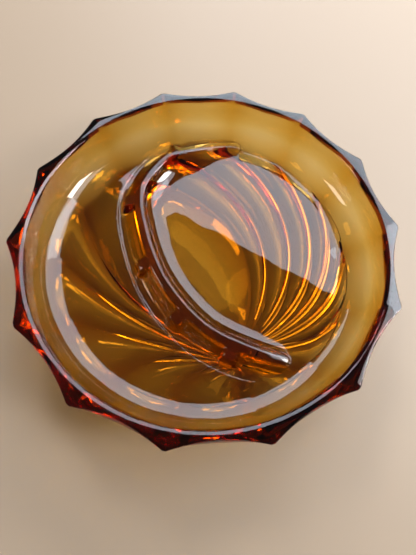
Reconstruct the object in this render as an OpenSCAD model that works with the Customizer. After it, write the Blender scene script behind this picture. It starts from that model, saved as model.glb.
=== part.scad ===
// Round divided dish in pressed glass: 14-point rim, swirled underside, curved divider.
// Millimetres. Z up, resting plane z = 0, centre of the rim circle on the Z axis, one rim tip on +X.

/* [Dish] */
// Diameter across two opposite rim tips
tip_d = 204; // [180:2:230]
// Height from the resting plane to the rim
dish_h = 34; // [30:1:42]
// Height of the inside floor above the resting plane
floor_z = 8.5; // [7:0.5:10]

/* [Rim] */
// Depth of the hollow between two tips, in plan
valley_cut = 5.3; // [3:0.1:6]
// Height of the rim band
rim_h = 4; // [3:0.5:5]
// Rounding of the inner lip edge
lip_round = 2; // [1:0.1:2.2]

/* [Underside swirl] */
// Depth of the hollow flutes at the floor
flute_d = 3; // [1.5:0.1:3.5]
// Share of the flute spacing taken by the flat crest of a ridge
crest_share = 0.06; // [0.04:0.01:0.1]

/* [Divider] */
// Height of the divider above the floor
divider_h = 10; // [6:0.5:13]
// Width of its rounded crest
divider_crest = 5.2; // [4:0.2:6]
// Reach of the outer foot from the middle of the crest
outer_foot = 13; // [11:0.5:14]
// Reach of the concave inner foot from the middle of the crest
inner_foot = 13.7; // [11:0.1:14.5]
// How full the buttresses are between the hollows along the outer flank
buttress = 1; // [0:0.1:1]

/* [Hidden] */

amber = [0.72, 0.42, 0.06];
R = tip_d / 2;
n_tips = 14;
step = 360 / n_tips;
floor_r = 0.79 * R;       // edge of the flat floor
wall_r = R - 9.2;         // inside wall just under the lip
sweep_top = wall_r - 0.6; // where the sweep from the floor meets the wall
lip_r = wall_r + lip_round;
foot_r = 0.84 * R;        // where the side turns into the underside
zi = dish_h - rim_h;      // seam between wall and rim

// share of the way across one flute for each column
half = crest_share / 2;
across = [for (i = [0:8]) half + (1 - crest_share) * i / 8];
cols = [for (k = [0:n_tips - 1], f = across) [k, f]];
nc = len(cols);
function scallop(f) = let (g = (f - half) / (1 - crest_share)) 4 * g * (1 - g);
function tip_angle(k) = -step * (k - 3);

// ---------- underside swirl: nested rings whose centre drifts to the hub ----------
hub = [0.09 * R, -0.595 * R];
drift = [0.44 * R, 0.02 * R];
function centre(t) = hub * t + drift * t * (1 - t);
function wave(c, a) = c[0] + c[1] * cos(a) + c[2] * sin(a) + c[3] * cos(2 * a) + c[4] * sin(2 * a)
    + (len(c) > 5 ? c[5] * cos(3 * a) : 0);
turn = [-18, -13, -38, 22, -2, -8];
bend = [-29, -38, 8.5, 23, -24];
function part_at(k) = let (x = ((k % n_tips) - 11.5) / 0.85) -x * exp(-x * x);
function arm_angle(k, t) = let (a = tip_angle(k), q = pow(t, 1.4))
    a + wave(turn, a) * q + wave(bend, a) * t * (1 - t) + part_at(k) * (86 * q + 35 * sin(180 * t));
function swirl_angle(c, t) = (1 - c[1]) * arm_angle(c[0], t)
    + c[1] * (arm_angle((c[0] + 1) % n_tips, t) - (c[0] + 1 == n_tips ? 360 : 0));
function swirl_pt(c, t, z) = let (p = centre(t), a = swirl_angle(c, t), r = foot_r * (1 - t))
    [p[0] + r * cos(a), p[1] + r * sin(a), z];
function under_z(c, t) = 2 * pow(max(0, 1 - t / 0.07), 2)
    + scallop(c[1]) * flute_d * min(1, 1.8 * (1 - t));

// ---------- side: ridge profile (radius share, height) from the foot to the rim ----------
function side_r(h) = let (u = h / dish_h) R * (0.84 + 0.16 * pow(sin(90 * u), 0.62));
// flutes are shallow on the side, deeper at the foot and deepest at the rim
function side_cut(h) = let (u = h / dish_h) valley_cut * (0.34 + 0.66 * pow(u, 6) + 0.23 * pow(1 - u, 6));
function side_pt(c, h) = let (a = tip_angle(c[0] + c[1]), r = side_r(h) - side_cut(h) * scallop(c[1]))
    [r * cos(a), r * sin(a), h];

function ring(r, z) = [for (c = cols) [r * cos(tip_angle(c[0] + c[1])), r * sin(tip_angle(c[0] + c[1])), z]];

// faces for a grid of closed rings, row after row
function band(i, j) = [for (k = [0:nc - 1]) let (m = (k + 1) % nc)
    each [[i * nc + k, i * nc + m, j * nc + m], [i * nc + k, j * nc + m, j * nc + k]]];

module torus_grid(rows) {
    n = len(rows);
    polyhedron([for (r = rows) each r], [for (i = [0:n - 1]) each band(i, (i + 1) % n)]);
}

foot_ring = [for (c = cols) swirl_pt(c, 0, under_z(c, 0))];

module fluted_base() color(amber) {
    ts = [for (i = [0:3]) i * 0.024, for (i = [1:14]) 0.072 + 0.062 * i];
    rows = [ring(floor_r, floor_z), for (t = ts) [for (c = cols) swirl_pt(c, t, under_z(c, t))],
            [for (c = cols) swirl_pt(c, 0.97, 0)]];
    n = len(rows);
    pts = [for (r = rows) each r, [0, 0, floor_z], [hub[0], hub[1], 0]];
    polyhedron(pts, [
        for (i = [0:n - 2]) each band(i + 1, i),
        for (k = [0:nc - 1]) [n * nc, k, (k + 1) % nc],
        for (k = [0:nc - 1]) [n * nc + 1, (n - 1) * nc + (k + 1) % nc, (n - 1) * nc + k]]);
}

// wide sweep from the floor up to the wall, u from 0 to 1
function sweep_z(u) = let (w = sweep_top - floor_r, q = 1.12 * w)
    floor_z + q - sqrt(q * q - w * w * u * u) + 1.4 * pow(u, 24);

module side_wall() color(amber) {
    z0 = 2;
    outer = [for (i = [1:9]) let (h = z0 + (zi - z0) * i / 9)
        [for (c = cols) let (p = side_pt(c, h), b = side_pt(c, z0), w = pow(1 - i / 9, 2), q = swirl_pt(c, 0, 0),
            lift = under_z(c, 0) - z0)
            [p[0] + w * (q[0] - b[0]), p[1] + w * (q[1] - b[1]), h + w * lift]]];
    sweep = [for (u = [0, 0.15, 0.3, 0.45, 0.6, 0.73, 0.84, 0.93, 1]) ring(floor_r + (sweep_top - floor_r) * u, sweep_z(u))];
    torus_grid([foot_ring, for (r = outer) r, ring(wall_r, zi), for (i = [8:-1:0]) sweep[i]]);
}

module scalloped_rim() color(amber) {
    outer = [for (h = [zi, dish_h - 1, dish_h - 0.4]) [for (c = cols) side_pt(c, h)]];
    top = [for (c = cols) let (p = side_pt(c, dish_h), k = (norm(p) - 0.4) / norm(p)) [p[0] * k, p[1] * k, dish_h]];
    lip = [for (a = [0:18:90]) ring(lip_r - lip_round * sin(a), dish_h - lip_round * (1 - cos(a)))];
    torus_grid([for (r = outer) r, top, for (r = lip) r, ring(wall_r, zi)]);
}

// ---------- divider ----------
path_pts = R * [[0.27, 0.728], [0.10, 0.735], [-0.08, 0.68], [-0.24, 0.60], [-0.365, 0.39], [-0.345, 0.13],
    [-0.24, -0.175], [-0.04, -0.435], [0.2, -0.575], [0.4, -0.64]];
np = len(path_pts);
function spline(u) = let (i = min(floor(u), np - 2), f = u - i, p0 = path_pts[max(i - 1, 0)], p1 = path_pts[i],
    p2 = path_pts[i + 1], p3 = path_pts[min(i + 2, np - 1)])
    0.5 * (2 * p1 + (p2 - p0) * f + (2 * p0 - 5 * p1 + 4 * p2 - p3) * f * f + (3 * p1 - p0 - 3 * p2 + p3) * f * f * f);
path_n = 120;
function path_at(i) = spline((np - 1) * i / path_n);
function heading(i) = let (d = path_at(min(i + 1, path_n)) - path_at(max(i - 1, 0))) d / norm(d);
// buttresses stand at these places, with hollows between them
stops = R * [[-0.13, 0.655], [-0.37, 0.33], [-0.345, -0.08], [-0.14, -0.37], [0.10, -0.57]];
function at_stop(p) = let (d = min([for (q = stops) norm(p - q)]), x = min(1, max(0, (d - 2.6) / 2.6)))
    1 - x * x * (3 - 2 * x);

top = divider_crest / 2;
function ease(v) = let (x = min(1, max(0, v))) x * x * (3 - 2 * x);
// the far end is a low lobe with a sloping back, named by l (1 on the lobe, 0 off it)
function inner_h(x, l) = x < top ? 1 - 0.18 * pow(x / top, 2.4)
    : 0.82 * pow(1 - (x - top) / (inner_foot - top), 2.6 - 1.2 * l);
function outer_h(x, b, l) = x < top ? 1 - 0.045 * pow(x / top, 2)
    : let (g = (x - top) / (outer_foot - top),
        hollow = 0.955 * pow(1 - g, 2.9),
        full = 0.955 * pow(1 - pow(g, 2.6), 0.7),
        back = 0.955 * pow(1 - pow(g, 1.5), 0.8),
        side = hollow + (full - hollow) * b * buttress)
        side + (back - side) * l;

function divider_row(i) = let (p = path_at(i), d = heading(i), s = [-d[1], d[0]],
    far = norm(p - path_at(0)), e = min(far, norm(p - path_at(path_n))), l = 1 - ease((far - 34) / 12),
    nose = max(0.3, sqrt(1 - pow(1 - min(1, e / top), 2))),
    rise = far < 60 ? (0.75 * nose + 0.25 * sin(90 * min(1, e / 8))) * (0.36 + 0.64 * ease((far - 6) / 46))
        : 0.6 * nose + 0.4 * sin(90 * min(1, e / 18)),
    h = divider_h * max(0.12, rise),
    wide = 0.1 + 0.4 * sqrt(min(1, e / 3)) + 0.5 * sin(90 * min(1, e / 30)),
    wide_i = far < 60 ? 0.1 + 0.18 * sqrt(min(1, e / 3)) + 0.72 * pow(min(1, far / 48), 0.9) : wide,
    room_o = max(1, room_out(p, s)),
    tn = top * nose, to = min(tn, 0.7 * room_o),
    fo = min(wide, (room_o - to) / (outer_foot - top)),
    b = at_stop(p) * min(1, e / 12))
    [for (q = concat(
        [for (f = [1, 0.83, 0.66, 0.5, 0.36, 0.24, 0.14, 0.06]) let (x = top + f * (inner_foot - top))
            [tn + (x - top) * wide_i, inner_h(x, l)]],
        [for (f = [1, 0.75, 0.4, 0]) [tn * f, inner_h(top * f * 0.999, l)]],
        [for (f = [0.5, 1]) [-to * f, outer_h(top * f * 0.999, b, l)]],
        [for (f = [0.07, 0.14, 0.22, 0.3, 0.38, 0.48, 0.6, 0.72, 0.84, 0.94, 1]) let (x = top + f * (outer_foot - top))
            [-(to + (x - top) * fo), outer_h(x, b, l)]]))
        [p[0] + s[0] * q[0], p[1] + s[1] * q[0], floor_z + h * q[1]]];
// distance from p, against s, to the edge of the flat floor
function room_out(p, s) = let (k = p * s) k + sqrt(k * k - p * p + pow(floor_r - 0.15, 2));

module divider() color(amber) {
    rows = [for (i = [0:path_n]) divider_row(i)];
    m = len(rows[0]);
    polyhedron([for (r = rows) each r], [
        for (i = [0:path_n - 1], k = [0:m - 1]) let (a = i * m + k, b = i * m + (k + 1) % m)
            each [[a, b + m, b], [a, a + m, b + m]],
        for (k = [1:m - 2]) [0, k, k + 1],
        for (k = [1:m - 2]) [path_n * m, path_n * m + k + 1, path_n * m + k]]);
}

fluted_base();
side_wall();
scalloped_rim();
divider();
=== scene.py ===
import math
import bpy
import numpy as np
from mathutils import Matrix, Vector
from mathutils.geometry import delaunay_2d_cdt


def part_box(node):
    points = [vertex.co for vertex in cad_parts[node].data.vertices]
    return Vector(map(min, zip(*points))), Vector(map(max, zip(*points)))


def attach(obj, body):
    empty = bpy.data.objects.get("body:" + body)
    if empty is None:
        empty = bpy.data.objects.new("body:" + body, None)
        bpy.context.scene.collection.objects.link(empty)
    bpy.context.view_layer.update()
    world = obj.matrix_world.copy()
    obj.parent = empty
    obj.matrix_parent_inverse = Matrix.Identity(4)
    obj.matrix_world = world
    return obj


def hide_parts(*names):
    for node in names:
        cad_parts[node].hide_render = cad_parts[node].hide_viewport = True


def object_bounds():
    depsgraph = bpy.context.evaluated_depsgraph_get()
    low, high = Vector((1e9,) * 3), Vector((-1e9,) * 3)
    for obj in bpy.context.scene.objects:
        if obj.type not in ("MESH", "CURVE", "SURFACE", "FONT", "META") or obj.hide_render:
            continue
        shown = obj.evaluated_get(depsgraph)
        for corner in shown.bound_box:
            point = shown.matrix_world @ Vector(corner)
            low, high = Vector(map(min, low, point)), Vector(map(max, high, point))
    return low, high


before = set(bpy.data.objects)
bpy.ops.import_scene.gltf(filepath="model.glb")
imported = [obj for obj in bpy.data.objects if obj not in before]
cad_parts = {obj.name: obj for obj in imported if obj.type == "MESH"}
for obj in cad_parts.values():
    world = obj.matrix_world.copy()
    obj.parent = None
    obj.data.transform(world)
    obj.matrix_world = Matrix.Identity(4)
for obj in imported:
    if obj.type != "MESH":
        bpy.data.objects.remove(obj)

cad_box = [list(c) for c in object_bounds()]

# ------------------------------------------------------------------ sizes, all from the frame
RIM = (cad_box[1][0] - cad_box[0][0]) / 2 * 1000      # rim tip radius, mm
H = cad_box[1][2] * 1000                              # rim height
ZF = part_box("fluted_base")[1][2] * 1000               # inside floor
DIV_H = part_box("divider")[1][2] * 1000 - ZF           # divider above the floor
N = 14
STEP = 2 * math.pi / N
FLOOR_R = 0.768 * RIM
RISE = 17.0                                           # radius of the sweep from floor to wall, mm
FACET = 1.3                                           # the floor is slightly 14-sided: mm in from its corners
WALL_R = 0.91 * RIM
LIP_W = 1.8                                           # width of the lip, a soft slope between the rim's top and the wall
LIP_IN = WALL_R + 0.2
LIP_R = LIP_IN + LIP_W
VALLEY = 0.052 * RIM                                  # hollow between tips
FLUTE = 3.0                                           # flute depth under the floor
CREST = 0.9                                           # half width of a ridge's flat crest
FOOT_R = 0.84 * RIM
EDGE = 0.7                                            # rounding of the rim's outer top edge


def pchip(x, y, q):
    """Smooth monotone curve through a few points."""
    x, y, q = (np.asarray(v, float) for v in (x, y, q))
    h, d = np.diff(x), np.diff(y) / np.diff(x)
    m = np.zeros_like(y)
    for i in range(1, len(x) - 1):
        if d[i - 1] * d[i] > 0:
            a, b = 2 * h[i] + h[i - 1], h[i] + 2 * h[i - 1]
            m[i] = (a + b) / (a / d[i - 1] + b / d[i])
    m[0], m[-1] = d[0], d[-1]
    i = np.clip(np.searchsorted(x, q) - 1, 0, len(x) - 2)
    t = np.clip((q - x[i]) / h[i], 0, 1)
    return ((1 + 2 * t) * (1 - t) ** 2 * y[i] + t * (1 - t) ** 2 * h[i] * m[i]
            + t * t * (3 - 2 * t) * y[i + 1] + t * t * (t - 1) * h[i] * m[i + 1])


def catmull(points, u):
    """Catmull-Rom curve through points, at u from 0 to len - 1."""
    p = np.asarray(points, float)
    u = np.clip(np.asarray(u, float), 0, len(p) - 1)
    i = np.minimum(u.astype(int), len(p) - 2)
    f = (u - i)[:, None]
    a, b, c, d = p[np.maximum(i - 1, 0)], p[i], p[i + 1], p[np.minimum(i + 2, len(p) - 1)]
    return 0.5 * (2 * b + (c - a) * f + (2 * a - 5 * b + 4 * c - d) * f ** 2 + (3 * b - a - 3 * c + d) * f ** 3)


# ------------------------------------------------------------------ underside swirl
HUB = np.array([0.09, -0.595]) * RIM
DRIFT = np.array([0.44, 0.02]) * RIM
TURN = [-18, -13, -38, 22, -2, -8]
BEND = [-29, -38, 8.5, 23, -24]


def wave(c, a):
    r = c[0] + c[1] * math.cos(a) + c[2] * math.sin(a) + c[3] * math.cos(2 * a) + c[4] * math.sin(2 * a)
    return math.radians(r + (c[5] * math.cos(3 * a) if len(c) > 5 else 0))


def arm_angle(k, t):
    """Angle of ridge k (0 to 14, where 14 is 0 again, one turn on) at swirl position t, as an array over t."""
    a = -STEP * ((k % N) - 3)
    x = ((k % N) - 11.5) / 0.85
    part = -x * math.exp(-x * x)
    q = t ** 1.4
    th = a + wave(TURN, a) * q + wave(BEND, a) * t * (1 - t) + part * (math.radians(86) * q + math.radians(35) * np.sin(np.pi * t))
    return th - (2 * math.pi if k >= N else 0)


HALF = 14                                             # columns from a ridge to the middle of a flute
NEAR = [0, 0.5, 0.8, 0.9, 1.0, 1.5, 2.4]              # mm from a ridge's centre
COLS = N * 2 * HALF


def columns(gap):
    """For a flute of this width in mm, where its 28 columns lie (0 to 1) and how deep each is (0 to 1)."""
    f = [min(NEAR[j] / gap, 0.5 * j / HALF) for j in range(len(NEAR))]
    f += [f[-1] + (0.5 - f[-1]) * j / (HALF - len(NEAR) + 1) for j in range(1, HALF - len(NEAR) + 2)]
    f = np.array(f[:HALF] + [0.5] + [1 - v for v in f[HALF - 1:0:-1]])
    c = min(CREST / gap, 0.12)
    g = np.clip((f - c) / (1 - 2 * c), 0, 1)
    return f, 4 * g * (1 - g)


def ring_xy(radius, inset):
    """A ring of columns round the Z axis: radius of the ridges, less inset at the middle of each flute."""
    f, s = columns(radius * STEP)
    a = np.concatenate([-STEP * (k - 3 + f) for k in range(N)])
    return a, np.tile(s, N), radius - inset * np.tile(s, N)


outer = []                                            # rows of (COLS, 3)
# outer side, from the rim's top edge down to the foot
for a in np.linspace(90, 0, 6):                       # rounded outer top edge
    ang, s, r = ring_xy(RIM - EDGE * (1 - math.cos(math.radians(a))), VALLEY)
    z = H - EDGE * (1 - math.sin(math.radians(a)))
    outer.append(np.c_[r * np.cos(ang), r * np.sin(ang), np.full(COLS, z)])


def ridge(phi):
    return 0.80 * RIM + 0.20 * RIM * math.sin(phi), H * (1 - math.cos(phi))


def side_depth(phi):
    """The flutes are shallow on the side, deeper at the foot and deepest at the rim."""
    return float(np.interp(phi / math.pi * 180, [0, 12, 30, 50, 68, 80, 86, 90], [3, 3, 2.6, 2.2, 2.3, 3.4, 4.6, VALLEY]))


phi_top = math.acos(EDGE * 1.6 / H)
phi_foot = math.asin((FOOT_R - 0.80 * RIM) / (0.20 * RIM))
for phi in np.linspace(phi_top, phi_foot, 34):
    r0, z0 = ridge(phi)
    deep = side_depth(phi)
    ang, s, r = ring_xy(r0, deep * math.sin(phi))
    outer.append(np.c_[r * np.cos(ang), r * np.sin(ang), z0 + deep * math.cos(phi) * s])

# underside, along the swirl
ts = np.concatenate([np.linspace(0, 0.08, 9)[1:], np.linspace(0.08, 0.955, 62)[1:]])
arms = [arm_angle(k, ts) for k in range(N + 1)]
for i, t in enumerate(ts):
    c = HUB * t + DRIFT * t * (1 - t)
    rho = FOOT_R * (1 - t)
    z0 = 0.0
    if rho > 0.80 * RIM:
        z0 = H * (1 - math.sqrt(1 - ((rho - 0.80 * RIM) / (0.20 * RIM)) ** 2))
    blend = min(1, t / 0.08)
    row = []
    for k in range(N):
        a0, a1 = arms[k][i], arms[k + 1][i]
        gap = abs(a1 - a0) * rho
        f, s = columns(gap)
        a = a0 + (a1 - a0) * f
        deep = (FLUTE * (1 - blend) + blend * 1.12 * FLUTE * (1 - math.exp(-gap / 13)))
        calm = min(1, max(0, (rho - 5) / 14))
        deep *= calm * calm * (3 - 2 * calm)
        row.append(np.c_[c[0] + rho * np.cos(a), c[1] + rho * np.sin(a), z0 + deep * s])
    outer.append(np.concatenate(row))

# ------------------------------------------------------------------ inside: lip, wall, fillet
inner = []
ang0 = ring_xy(LIP_R, 0)[0]


def plain_ring(r, z):
    return np.c_[r * np.cos(ang0), r * np.sin(ang0), np.full(COLS, z)]


slope = np.radians(pchip([0, 0.1, 0.22, 0.72, 0.86, 1], [0, 19, 33, 41, 66, 90], np.linspace(0, 1, 241)))
lip_x, lip_z = np.cumsum(np.cos(slope)), np.cumsum(np.sin(slope))
lip_x, lip_z = (lip_x - lip_x[0]) * LIP_W / (lip_x[-1] - lip_x[0]), (lip_z - lip_z[0]) * LIP_W / (lip_x[-1] - lip_x[0])
LIP_H = lip_z[-1]
for i in range(0, 241, 20):
    inner.append(plain_ring(LIP_R - lip_x[i], H - lip_z[i]))
TOP_A = math.radians(80)                              # where the fillet meets the wall
TOP_R = WALL_R - 0.6
def floor_edge(angle):
    """Radius of the flat floor at this angle: nearly straight between fourteen soft corners under the rim tips."""
    f = np.mod(np.asarray(angle) / STEP, 1)
    return FLOOR_R - FACET * 4 * f * (1 - f)


def base_z(x, y):
    """Height of the plain inside surface at any point inside the fillet's top."""
    r, e = np.hypot(x, y), floor_edge(np.arctan2(y, x))
    u = np.clip((r - e) / (TOP_R - e), 0, 1)
    d = (TOP_R - FLOOR_R) * u
    return ZF + RISE - np.sqrt(RISE ** 2 - d ** 2) + 1.4 * u ** 24


TOP_Z = float(base_z(TOP_R, 0.0))
for f in np.linspace(0, 1, 8)[1:-1]:
    inner.append(plain_ring(LIP_IN + (TOP_R - LIP_IN) * f, H - LIP_H + (TOP_Z - H + LIP_H) * f))


def fillet_ring(u):
    e = floor_edge(ang0)
    r = e + (TOP_R - e) * u
    x, y = r * np.cos(ang0), r * np.sin(ang0)
    return np.c_[x, y, base_z(x, y)]


OUT_U = 0.80                                          # from here in, the surface is filled round the divider
for u in np.sin(np.linspace(TOP_A, math.asin(OUT_U * math.sin(TOP_A)), 7)) / math.sin(TOP_A):
    inner.append(fillet_ring(min(u, 1)))

# ------------------------------------------------------------------ divider, a strip along its path
PATH = RIM * np.array([[0.275, 0.757], [0.10, 0.745], [-0.08, 0.685], [-0.24, 0.60], [-0.365, 0.39], [-0.345, 0.13],
                       [-0.24, -0.175], [-0.04, -0.435], [0.2, -0.575], [0.4, -0.64]])
fine = catmull(PATH, np.linspace(0, len(PATH) - 1, 2000))
run = np.concatenate([[0], np.cumsum(np.linalg.norm(np.diff(fine, axis=0), axis=1))])
LONG = run[-1]
NS = 320
REACH = floor_edge(0.5 * STEP) + (TOP_R - floor_edge(0.5 * STEP)) * OUT_U - 0.4
s_at = np.linspace(0, LONG, NS)
path = np.c_[np.interp(s_at, run, fine[:, 0]), np.interp(s_at, run, fine[:, 1])]
tan = np.gradient(path, axis=0)
for _ in range(6):
    tan[1:-1] = (tan[:-2] + 2 * tan[1:-1] + tan[2:]) / 4
tan /= np.linalg.norm(tan, axis=1)[:, None]
side = np.c_[-tan[:, 1], tan[:, 0]]                   # to the right compartment when positive
# cross-sections, outer foot to inner foot: across, height share. Hollows, steep above and gentler below, line the outer flank
# with buttresses between them, and a shallow channel runs along its foot. The far end is a low lobe with a sloping back.
HOLLOW = [[-16, 0], [-15.4, -0.02], [-14.7, -0.07], [-13.6, -0.09], [-12.2, -0.09], [-11, -0.07], [-10.2, -0.03], [-9.4, 0.035],
          [-8.4, 0.13], [-7.3, 0.235], [-6.2, 0.34], [-5.2, 0.44], [-4.4, 0.55], [-3.75, 0.72], [-2.95, 0.93], [-1.3, 0.99],
          [0, 1]]
BUTTRESS = [[-16, 0], [-15.5, -0.01], [-15, -0.05], [-14.5, -0.09], [-13.4, -0.09], [-12.4, -0.02], [-11.7, 0.17], [-11, 0.44],
            [-10.1, 0.66], [-8.8, 0.79], [-7.4, 0.865], [-6.1, 0.9], [-4.9, 0.925], [-3.7, 0.945], [-2.9, 0.96], [-1.3, 0.99],
            [0, 1]]
LOBE = [[-16, 0], [-15.5, 0], [-15, 0], [-14.5, 0], [-14, 0], [-13.4, 0.01], [-12.8, 0.06], [-12, 0.2],
        [-11, 0.36], [-9.8, 0.5], [-8.4, 0.61], [-7, 0.71], [-5.6, 0.8], [-4.2, 0.88], [-2.8, 0.94], [-1.3, 0.985],
        [0, 1]]
INSIDE = [[1.2, 0.985], [2.0, 0.935], [2.6, 0.82], [3.1, 0.68], [3.9, 0.53], [5, 0.385], [6.4, 0.26], [8, 0.155],
          [9.8, 0.07], [11.7, 0.018], [13.7, 0]]
INSIDE_LOBE = [[1.2, 0.96], [2.0, 0.88], [2.9, 0.78], [4.1, 0.67], [5.4, 0.55], [6.8, 0.42], [8.2, 0.3], [9.6, 0.19],
               [11, 0.095], [12.4, 0.03], [13.7, 0]]
NQ = 96
at_u = np.linspace(0, len(HOLLOW) + len(INSIDE) - 1, NQ)
sec_hollow, sec_butt, sec_lobe = (catmull(c, at_u) for c in (HOLLOW + INSIDE, BUTTRESS + INSIDE, LOBE + INSIDE_LOBE))
STOPS = RIM * np.array([[-0.13, 0.655], [-0.37, 0.33], [-0.345, -0.08], [-0.14, -0.37], [0.10, -0.57]])
stop_s = np.array([s_at[np.argmin(np.linalg.norm(path - p, axis=1))] for p in STOPS])
to_stop = np.min(np.abs(s_at[:, None] - stop_s[None]), axis=1)
x = np.clip((to_stop - 2.6) / 2.6, 0, 1)
bar = 1 - x * x * (3 - 2 * x)                          # 1 on a buttress, 0 in a hollow


def ease(v):
    v = np.clip(v, 0, 1)
    return v * v * (3 - 2 * v)


ends = np.minimum(s_at, LONG - s_at)
far = 1 - ease((s_at - LONG / 2) / 10 + 0.5)           # 1 on the far half of the divider
lobe = 1 - ease((s_at - 34) / 12)                      # 1 on the far end's lobe
TOP = 2.6                                              # half the width of the rounded crest
nose = np.sqrt(1 - (1 - np.clip(ends / TOP, 0, 1)) ** 2)
rise = 0.6 * nose + 0.4 * np.sin(np.pi / 2 * np.clip(ends / 18, 0, 1))
rise = np.where(far > 0.5, (0.75 * nose + 0.25 * np.sin(np.pi / 2 * np.clip(ends / 8, 0, 1))) * (0.36 + 0.64 * ease((s_at - 6) / 46)), rise)
sink = np.sin(np.pi / 2 * np.clip((ends - 4) / 20, 0, 1)) * (1 - 0.7 * ease((s_at - stop_s[3]) / 20 + 0.5))
wide = 0.5 * np.sqrt(np.clip(ends / 3, 0, 1)) + 0.5 * np.sin(np.pi / 2 * np.clip(ends / 30, 0, 1))
wide_out = np.where(far > 0.5, np.sqrt(1 - (1 - np.clip(ends / 6, 0, 1)) ** 2), wide)
wide_in = np.where(far > 0.5, 0.2 * np.sqrt(np.clip(ends / 3, 0, 1)) + 0.8 * np.clip(s_at / 48, 0, 1) ** 0.9, wide)
wide = np.c_[wide_out, wide_in] + 0.004                # outer side, inner side
for j, foot in ((0, HOLLOW[0][0]), (1, INSIDE[-1][0])):   # the feet stop part way up the fillet
    for i in range(NS):
        sign = math.copysign(1, foot)
        while wide[i, j] > 0.01 and np.hypot(*(path[i] + side[i] * sign * (TOP * nose[i] + (abs(foot) - TOP) * wide[i, j]))) > REACH:
            wide[i, j] *= 0.98
    for _ in range(30):
        smooth = wide[:, j].copy()
        smooth[1:-1] = (wide[:-2, j] + 2 * wide[1:-1, j] + wide[2:, j]) / 4
        wide[:, j] = np.minimum(wide[:, j], smooth)
strip = []
for i in range(NS):
    sec = sec_hollow + (sec_butt - sec_hollow) * bar[i]
    sec = sec + (sec_lobe - sec) * lobe[i]
    m = np.abs(sec[:, 0])
    n = np.sign(sec[:, 0]) * (np.minimum(m, TOP) * (0.04 + 0.96 * nose[i]) + np.maximum(m - TOP, 0) * np.where(sec[:, 0] < 0, wide[i, 0], wide[i, 1]))
    x, y = path[i, 0] + side[i, 0] * n, path[i, 1] + side[i, 1] * n
    low_z = base_z(x, y)
    z = np.maximum(low_z, ZF + np.clip(sec[:, 1], 0, 1) * DIV_H * rise[i]) if 0 < i < NS - 1 else low_z.copy()
    z += np.clip(sec[:, 1], -1, 0) * DIV_H * sink[i]
    z[0], z[-1] = low_z[0], low_z[-1]
    strip.append(np.c_[x, y, z])
strip = np.array(strip)

# ------------------------------------------------------------------ one closed glass mesh
verts, faces = [], []


def add(points):
    n = sum(len(v) for v in verts)
    verts.append(np.asarray(points))
    return n


def band(i, j, n=COLS):
    """Faces between two rings that start at i and j."""
    for k in range(n):
        m = (k + 1) % n
        faces.append((i + k, i + m, j + m, j + k))


at = [add(r) for r in outer]
for i in range(len(at) - 1):
    band(at[i], at[i + 1])
hub_v = add([[HUB[0], HUB[1], 0.0]])
for k in range(COLS):
    faces.append((at[-1] + k, at[-1] + (k + 1) % COLS, hub_v))
inn = [add(r) for r in inner]
band(inn[0], at[0])                                   # flat top of the rim
for i in range(len(inn) - 1):
    band(inn[i + 1], inn[i])
# divider strip: its long edges and its two ends lie on the floor
st = add(strip.reshape(-1, 3))
for i in range(NS - 1):
    for q in range(NQ - 1):
        a = st + i * NQ + q
        faces.append((a, a + 1, a + NQ + 1, a + NQ))
loop = [st + i * NQ for i in range(NS)] + [st + (NS - 1) * NQ + q for q in range(1, NQ)] \
    + [st + i * NQ + NQ - 1 for i in range(NS - 2, -1, -1)] + [st + q for q in range(NQ - 2, 0, -1)]
allv = np.concatenate(verts)
# flat floor between the fillet and the divider
rim_loop = [inn[-1] + k for k in range(COLS)]
poly = allv[loop][:, :2]


def inside(p, ring):
    x, y = p
    a, b = ring, np.roll(ring, -1, axis=0)
    c = (a[:, 1] > y) != (b[:, 1] > y)
    with np.errstate(divide="ignore", invalid="ignore"):
        hit = x < (b[:, 0] - a[:, 0]) * (y - a[:, 1]) / (b[:, 1] - a[:, 1]) + a[:, 0]
    return (c & hit).sum() % 2 == 1


extra = []
for u in (0.72, 0.64, 0.56, 0.48, 0.40, 0.32, 0.25, 0.18, 0.12, 0.06, 0.02, 0.0):
    extra += fillet_ring(u).tolist()
for x in np.arange(-78, 79, 6.0):
    for y in np.arange(-78, 79, 6.0):
        if math.hypot(x, y) < FLOOR_R - 5:
            extra.append([x, y, ZF])
extra = [p for p in extra if np.min(np.linalg.norm(poly - p[:2], axis=1)) > 0.35 and not inside(p[:2], poly)]
ex = add(extra)
ids = rim_loop + loop + [ex + i for i in range(len(extra))]
allv = np.concatenate(verts)
pts = [Vector(allv[i][:2]) for i in ids]
nr, nl = len(rim_loop), len(loop)
edges = [(i, (i + 1) % nr) for i in range(nr)] + [(nr + i, nr + (i + 1) % nl) for i in range(nl)]
out_v, out_e, out_f, orig_v, _, _ = delaunay_2d_cdt(pts, edges, [], 0, 1e-7)
for f in out_f:
    tri = [orig_v[v] for v in f]
    if any(len(t) == 0 for t in tri):
        raise ValueError("the floor outline crosses itself")
    p = [out_v[v] for v in f]
    c = ((p[0].x + p[1].x + p[2].x) / 3, (p[0].y + p[1].y + p[2].y) / 3)
    if not inside(c, poly):
        idx = [ids[t[0]] for t in tri]
        area = (p[1] - p[0]).cross(p[2] - p[0]) if len(p) == 3 else 1
        faces.append(tuple(idx if area > 0 else idx[::-1]))

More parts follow.
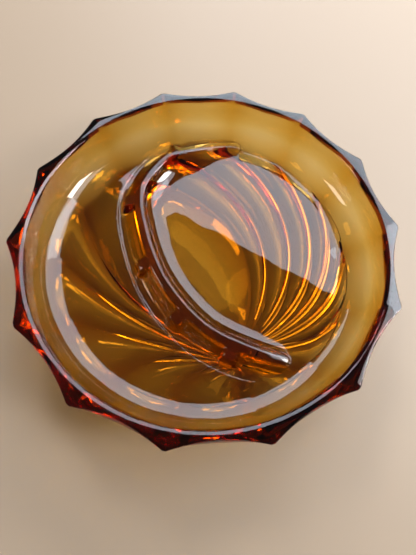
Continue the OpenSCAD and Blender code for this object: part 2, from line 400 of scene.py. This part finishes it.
mesh = bpy.data.meshes.new("dish_glass")
mesh.from_pydata((allv / 1000).tolist(), [], faces)
mesh.validate()
mesh.update()
import bmesh
bm = bmesh.new()
bm.from_mesh(mesh)
bmesh.ops.remove_doubles(bm, verts=bm.verts, dist=2e-6)
slivers = [f for f in bm.faces if f.calc_area() < 1e-11 and any(len(e.link_faces) == 1 for e in f.edges)]
bmesh.ops.delete(bm, geom=slivers, context="FACES")   # flaps of no area left on the floor by the merge
bmesh.ops.recalc_face_normals(bm, faces=bm.faces)
bad = [e for e in bm.edges if len(e.link_faces) != 2]
vol = bm.calc_volume(signed=True)
print("open edges", len(bad), "volume cm3", vol * 1e6, "faces", len(bm.faces))
if vol < 0:
    bmesh.ops.reverse_faces(bm, faces=bm.faces)
bm.to_mesh(mesh)
bm.free()
for p in mesh.polygons:
    p.use_smooth = True
glass = bpy.data.objects.new("dish_glass", mesh)
bpy.context.scene.collection.objects.link(glass)
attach(glass, "root")
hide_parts("fluted_base", "side_wall", "scalloped_rim", "divider")

# ------------------------------------------------------------------ glass material
mat = bpy.data.materials.new("amber_pressed_glass")
mat.use_nodes = True
nt = mat.node_tree
nt.nodes.clear()
out = nt.nodes.new("ShaderNodeOutputMaterial")
bsdf = nt.nodes.new("ShaderNodeBsdfPrincipled")
bsdf.inputs["Transmission Weight"].default_value = 1.0
bsdf.inputs["IOR"].default_value = 1.52
bsdf.inputs["Base Color"].default_value = (1, 1, 1, 1)
absorb = nt.nodes.new("ShaderNodeVolumeAbsorption")
absorb.inputs["Color"].default_value = (0.868, 0.68, 0.0, 1)
absorb.inputs["Density"].default_value = 340
coord = nt.nodes.new("ShaderNodeTexCoord")


def noise(scale, detail=2.0):
    n = nt.nodes.new("ShaderNodeTexNoise")
    n.inputs["Scale"].default_value = scale
    n.inputs["Detail"].default_value = detail
    nt.links.new(coord.outputs["Object"], n.inputs["Vector"])
    return n


def ramp(src, lo, hi, a, b):
    m = nt.nodes.new("ShaderNodeMapRange")
    m.inputs["From Min"].default_value, m.inputs["From Max"].default_value = lo, hi
    m.inputs["To Min"].default_value, m.inputs["To Max"].default_value = a, b
    nt.links.new(src, m.inputs["Value"])
    return m.outputs["Result"]


# fire-polished skin: slow waviness and a little handling haze
slow = noise(45, 1.0)
bump = nt.nodes.new("ShaderNodeBump")
bump.inputs["Strength"].default_value = 0.25
bump.inputs["Distance"].default_value = 0.0006
nt.links.new(slow.outputs["Fac"], bump.inputs["Height"])
nt.links.new(bump.outputs["Normal"], bsdf.inputs["Normal"])
haze = noise(160, 4.0)
nt.links.new(ramp(haze.outputs["Fac"], 0.35, 0.75, 0.0, 0.015), bsdf.inputs["Roughness"])
nt.links.new(bsdf.outputs["BSDF"], out.inputs["Surface"])
nt.links.new(absorb.outputs["Volume"], out.inputs["Volume"])
mesh.materials.append(mat)

# ------------------------------------------------------------------ floor, light, camera
scene = bpy.context.scene


def plane(name, size, z, color):
    m = bpy.data.meshes.new(name)
    h = size / 2
    m.from_pydata([(-h, -h, z), (h, -h, z), (h, h, z), (-h, h, z)], [], [(0, 1, 2, 3)])
    o = bpy.data.objects.new(name, m)
    scene.collection.objects.link(o)
    k = bpy.data.materials.new(name)
    k.use_nodes = True
    b = k.node_tree.nodes["Principled BSDF"]
    b.inputs["Base Color"].default_value = (*color, 1)
    b.inputs["Roughness"].default_value = 0.6
    m.materials.append(k)
    return o


plane("floor", 8, -0.0002, (0.157, 0.120, 0.087))


def soft_box(name, azimuth, elevation, distance, width, height, radiance, color):
    light = bpy.data.lights.new(name, "AREA")
    light.shape = "RECTANGLE"
    light.size, light.size_y = width, height
    light.energy = radiance * math.pi * width * height
    light.color = color
    o = bpy.data.objects.new(name, light)
    a, e = math.radians(azimuth), math.radians(elevation)
    pos = Vector((math.cos(a) * math.cos(e), math.sin(a) * math.cos(e), math.sin(e))) * distance
    o.location = pos
    o.rotation_euler = pos.to_track_quat("Z", "Y").to_euler()
    scene.collection.objects.link(o)
    return o


soft_box("far_soft_box", 57, 40, 1.5, 2.35, 1.3, 5.2, (0.82, 0.93, 1.06))
for lamp in (soft_box("key", 52, 24, 1.5, 0.5, 0.5, 42.0, (1.0, 0.97, 0.92)),
             soft_box("arm_key", 83, 25, 1.5, 0.28, 0.28, 66.0, (1.0, 0.97, 0.92)),
             soft_box("rim_key", 345, 30, 1.5, 0.3, 0.3, 70.0, (1.0, 0.97, 0.92)),
             soft_box("high_soft_box", 50, 68, 1.5, 1.3, 0.9, 3.0, (1.0, 0.97, 0.92)),
             soft_box("side_key", 103, 40, 1.5, 0.3, 0.3, 60.0, (1.0, 0.97, 0.92))):
    lamp.visible_glossy = False                        # these light the glass without showing as reflections
soft_box("right_soft_box", 12, 42, 1.5, 0.9, 0.9, 5.0, (0.9, 0.95, 1.0))
soft_box("right_strip", -8, 27, 1.4, 0.30, 0.75, 26.0, (1.0, 0.99, 0.97))
soft_box("left_strip", 182, 24, 1.6, 0.4, 0.8, 8.0, (1.0, 0.95, 0.94))
world = bpy.data.worlds.new("soft_room")
world.use_nodes = True
world.node_tree.nodes["Background"].inputs["Color"].default_value = (0.92, 0.95, 1.0, 1)
world.node_tree.nodes["Background"].inputs["Strength"].default_value = 0.07
scene.world = world

cam_data = bpy.data.cameras.new("camera")
cam = bpy.data.objects.new("camera", cam_data)
scene.collection.objects.link(cam)
scene.camera = cam
cam_data.sensor_fit = "AUTO"
cam_data.sensor_width = 36
cam_data.lens = 320 / 555 * 36
cam_data.clip_start = 0.01
el, roll, turn = math.radians(69.47), math.radians(-3.58), math.radians(83.5) - 3 * 2 * math.pi / 14
back = Vector((0, -math.cos(el), math.sin(el)))
right = Vector((1, 0, 0))
up = back.cross(right)
base = Matrix((right, up, back))
spin = Matrix(((math.cos(roll), -math.sin(roll), 0), (math.sin(roll), math.cos(roll), 0), (0, 0, 1)))
about = Matrix(((math.cos(turn), -math.sin(turn), 0), (math.sin(turn), math.cos(turn), 0), (0, 0, 1)))
m = spin @ base @ about
t = Vector((-0.006, 0.2255, -1.629)) * (RIM / 1000)
pos = -(m.transposed() @ t) + Vector((0, 0, H / 1000))
cam.matrix_world = Matrix.Translation(pos) @ m.transposed().to_4x4()

scene.view_settings.view_transform = "Standard"
scene.cycles.max_bounces = 24
scene.cycles.transmission_bounces = 24
scene.cycles.glossy_bounces = 16
scene.cycles.diffuse_bounces = 3
scene.cycles.sample_clamp_indirect = 8
scene.cycles.use_denoising = True
